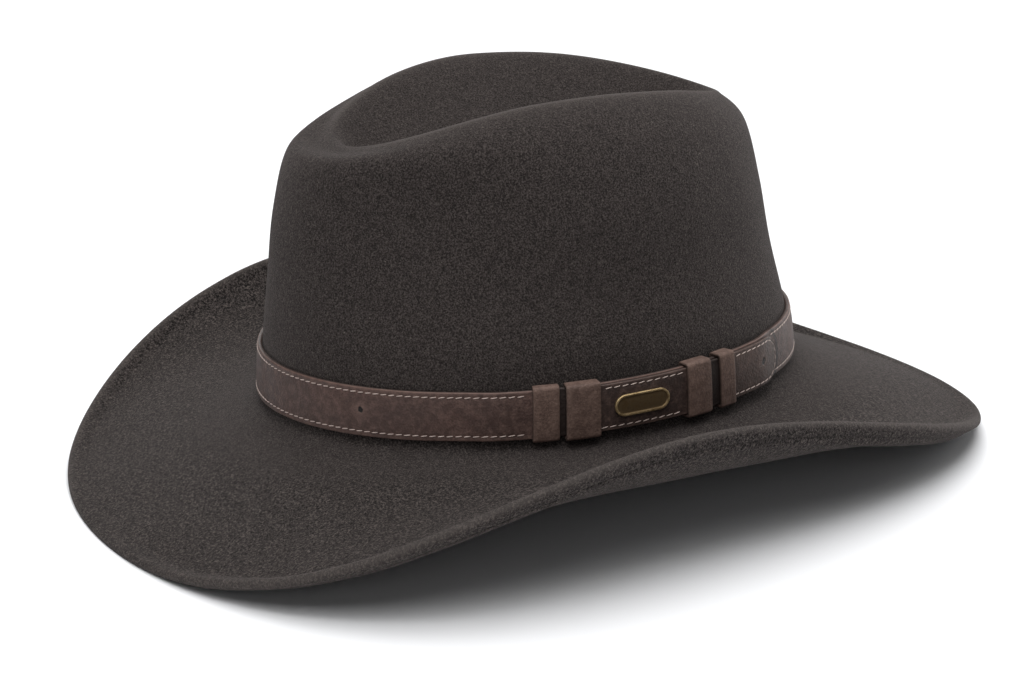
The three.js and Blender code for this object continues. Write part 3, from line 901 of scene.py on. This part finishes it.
def leather_material(name, dark, light, worn, rough, nick=None):
    n = Nodes(name)
    cloud = n.noise(38, 4, 0.6)
    grains = n.cells(1150)
    pores = n.noise(1500, 4, 0.75)
    wear = n.noise(420, 3, 0.6)
    body = n.mix(n.ramp(cloud, 0.3, 0.7), dark, light)
    body = n.mix(n.ramp(pores, 0.44, 0.6, 0, 0.9), body, dark)
    mottle = n.noise(340, 5, 0.8)
    body = n.mix(n.ramp(mottle, 0.45, 0.75, 0, 0.7), body, worn)
    # worn edges, and on the strap's end a painted highlight
    edge = n.math("MULTIPLY", n.attribute("edge"), n.ramp(wear, 0.3, 0.65, 0.3, 0.8))
    body = n.mix(edge, body, worn)
    # darker where marked: the cut edges, and painted shade in the slits, beside the strap's end and at the
    # keepers' sides
    body = n.mix(n.attribute("shade"), body, srgb(*CUT_EDGE_AND_SHADE))
    height = n.math("ADD", n.math("MULTIPLY", grains, 1.1), n.math("MULTIPLY", pores, 0.7))
    if nick:
        gap = n.new("ShaderNodeVectorMath", operation="DISTANCE")
        n.put(n.place, gap.inputs[0])
        gap.inputs[1].default_value = tuple(v * MM for v in nick["at"])
        ragged = n.math("MULTIPLY", gap.outputs["Value"], n.ramp(wear, 0.35, 0.65, 0.6, 1.5))
        hole = n.ramp(ragged, nick["radius"] * MM, nick["radius"] * MM * 0.6)
        halo = n.ramp(gap.outputs["Value"], nick["radius"] * MM * 3, nick["radius"] * MM, 0, 0.5)
        # the hole is painted dark as shade, inside a paler worn halo
        body = n.mix(hole, n.mix(halo, body, worn), srgb(*HOLE_SHADE))
        height = n.math("SUBTRACT", height, n.math("MULTIPLY", hole, 4.0))
    n.put(body, n.shader.inputs["Base Color"])
    n.put(n.ramp(cloud, 0.3, 0.7, rough - 0.08, rough + 0.08), n.shader.inputs["Roughness"])
    n.shader.inputs["Specular IOR Level"].default_value = 0.4
    n.put(n.bump(height, LEATHER_GRAIN, 0.6), n.shader.inputs["Normal"])
    return n.material


def thread_material():
    n = Nodes("thread")
    strands = n.noise(2600, 2, 0.5, stretch=(1, 1, 3))
    colour = n.mix(n.ramp(strands, 0.3, 0.7), srgb(162, 142, 134), srgb(212, 196, 187))
    n.put(colour, n.shader.inputs["Base Color"])
    n.put(n.ramp(strands, 0.3, 0.7, 0.6, 0.8), n.shader.inputs["Roughness"])
    n.put(n.bump(strands, 0.0001, 0.6), n.shader.inputs["Normal"])
    return n.material


def brass_material():
    n = Nodes("antique_brass")
    tarnish = n.noise(700, 4, 0.65)
    scratch = n.noise(2400, 3, 0.6)
    metal = n.mix(n.ramp(tarnish, 0.35, 0.65), srgb(158, 132, 92), srgb(212, 188, 144))
    dulled = n.math("MULTIPLY", n.attribute("recess"), n.ramp(tarnish, 0.3, 0.7, 0.5, 0.85))
    n.put(n.mix(dulled, metal, srgb(78, 58, 42)), n.shader.inputs["Base Color"])
    n.shader.inputs["Metallic"].default_value = 0.85
    n.put(n.ramp(tarnish, 0.3, 0.7, 0.36, 0.6), n.shader.inputs["Roughness"])
    n.put(n.bump(scratch, 0.00008, 0.5), n.shader.inputs["Normal"])
    return n.material


def paint(obj, material):
    obj.data.materials.clear()
    obj.data.materials.append(material)


# Two small holes, painted on as dark spots of painted shade: distance along the band, height and radius.
BAND_NICK = {"along": -97.0, "height": 13.2, "radius": 1.1}
STRAP_HOLE = {"along": 60.5, "height": 12.9, "radius": 1.5}

# The leathers' colours, out of 255, and their roughness.
LEATHERS = {
    "band_hide": {"dark": (60, 44, 40), "light": (90, 67, 60), "worn": (122, 98, 89), "rough": 0.6},
    "strap_hide": {"dark": (44, 33, 30), "light": (66, 50, 45), "worn": (104, 84, 76), "rough": 0.62},
    "keeper_hide": {"dark": (76, 58, 51), "light": (104, 82, 73), "worn": (134, 110, 99), "rough": 0.7},
}


def leather(name, nick=None):
    look = LEATHERS[name]
    colours = (srgb(*look[key]) for key in ("dark", "light", "worn"))
    return leather_material(name, *colours, look["rough"], nick=nick)


nick_turn = float(angle_along(BAND_NICK["along"]))
nick_depth = np.asarray(float(band_depth(nick_turn)) + BAND["thickness"])
nick_at = on_band(nick_turn, BAND_NICK["height"], nick_depth)
hole_turn = float(angle_along(STRAP_HOLE["along"]))
hole_depth = np.asarray(STRAP_DEPTH - settled(hole_turn) + STRAP["thickness"])
hole_at = on_band(hole_turn, STRAP_HOLE["height"], hole_depth)
paint(felt, felt_material())
paint(band, leather("band_hide", {"at": nick_at, "radius": BAND_NICK["radius"]}))
paint(strap, leather("strap_hide", {"at": hole_at, "radius": STRAP_HOLE["radius"]}))
keeper_hide = leather("keeper_hide")
for keeper in keepers:
    paint(keeper, keeper_hide)
thread = thread_material()
paint(band_thread, thread)
paint(strap_thread, thread)
paint(plate, brass_material())


# Floor, light and camera

FLOOR_HALF = 6.0
FLOOR_DROP = -0.0002

floor_mesh = bpy.data.meshes.new("floor")
floor_mesh.from_pydata(
    [(x * FLOOR_HALF, y * FLOOR_HALF, FLOOR_DROP) for x, y in ((-1, -1), (1, -1), (1, 1), (-1, 1))],
    [],
    [(0, 1, 2, 3)],
)
floor = bpy.data.objects.new("floor", floor_mesh)
bpy.context.scene.collection.objects.link(floor)
floor_nodes = Nodes("floor")
floor_nodes.shader.inputs["Base Color"].default_value = (0.93, 0.935, 0.95, 1)
floor_nodes.shader.inputs["Roughness"].default_value = 0.9
floor_nodes.shader.inputs["Specular IOR Level"].default_value = 0.1
paint(floor, floor_nodes.material)

world = bpy.data.worlds.new("studio")
bpy.context.scene.world = world
world.use_nodes = True
world.node_tree.nodes["Background"].inputs["Color"].default_value = (1, 1, 1, 1)
world.node_tree.nodes["Background"].inputs["Strength"].default_value = 0.05


def softbox(name, place, size, watts, target=(0, 0, 0.05)):
    data = bpy.data.lights.new(name, "AREA")
    data.shape = "RECTANGLE"
    data.size, data.size_y = size
    data.energy = watts
    lamp = bpy.data.objects.new(name, data)
    bpy.context.scene.collection.objects.link(lamp)
    lamp.location = place
    lamp.rotation_mode = "QUATERNION"
    lamp.rotation_quaternion = (Vector(place) - Vector(target)).to_track_quat("Z", "Y")
    return lamp


LIGHTS = [
    {"name": "top", "place": (0.1, 0.1, 1.7), "size": (1.8, 1.8), "watts": 26},
    {"name": "overhead", "place": (-0.55, 0.35, 1.5), "size": (1.4, 1.4), "watts": 6.2},
    {"name": "front_high", "place": (0.9, -0.5, 1.5), "size": (1.2, 1.2), "watts": 13.2},
    {"name": "camera_low", "place": (1.6, -0.7, 0.5), "size": (1.2, 0.8), "watts": 3.2},
    {"name": "far_low", "place": (-1.6, 0.4, 0.6), "size": (1.2, 0.8), "watts": 9.2},
    {"name": "back_low", "place": (-0.5, 1.7, 0.4), "size": (1.2, 0.6), "watts": 8.6},
]
for light in LIGHTS:
    softbox(**light)

CAMERA = {
    "azimuth": 67.91, "elevation": 16.49, "roll": -2.45, "distance": 1.1,
    "side": -0.00485, "up": -0.03769, "aim": (0, 0, 0.0836), "focal_px": 2919.0,
}
IMAGE_WIDTH = 1024
SENSOR = 36.0


def make_camera():
    azimuth, elevation, roll = (math.radians(CAMERA[k]) for k in ("azimuth", "elevation", "roll"))
    level = math.cos(elevation)
    back = Vector((math.sin(azimuth) * level, -math.cos(azimuth) * level, math.sin(elevation)))
    right = Vector((math.cos(azimuth), math.sin(azimuth), 0))
    up = back.cross(right)
    turned_right = right * math.cos(roll) + up * math.sin(roll)
    turned_up = up * math.cos(roll) - right * math.sin(roll)
    place = Vector(CAMERA["aim"]) + back * CAMERA["distance"]
    place += turned_right * CAMERA["side"] + turned_up * CAMERA["up"]
    data = bpy.data.cameras.new("camera")
    data.sensor_width = SENSOR
    data.lens = CAMERA["focal_px"] * SENSOR / IMAGE_WIDTH
    data.clip_start, data.clip_end = 0.01, 100
    camera = bpy.data.objects.new("camera", data)
    bpy.context.scene.collection.objects.link(camera)
    matrix = Matrix((turned_right, turned_up, back)).transposed().to_4x4()
    matrix.translation = place
    camera.matrix_world = matrix
    bpy.context.scene.camera = camera


make_camera()
bpy.context.scene.view_settings.view_transform = "Standard"
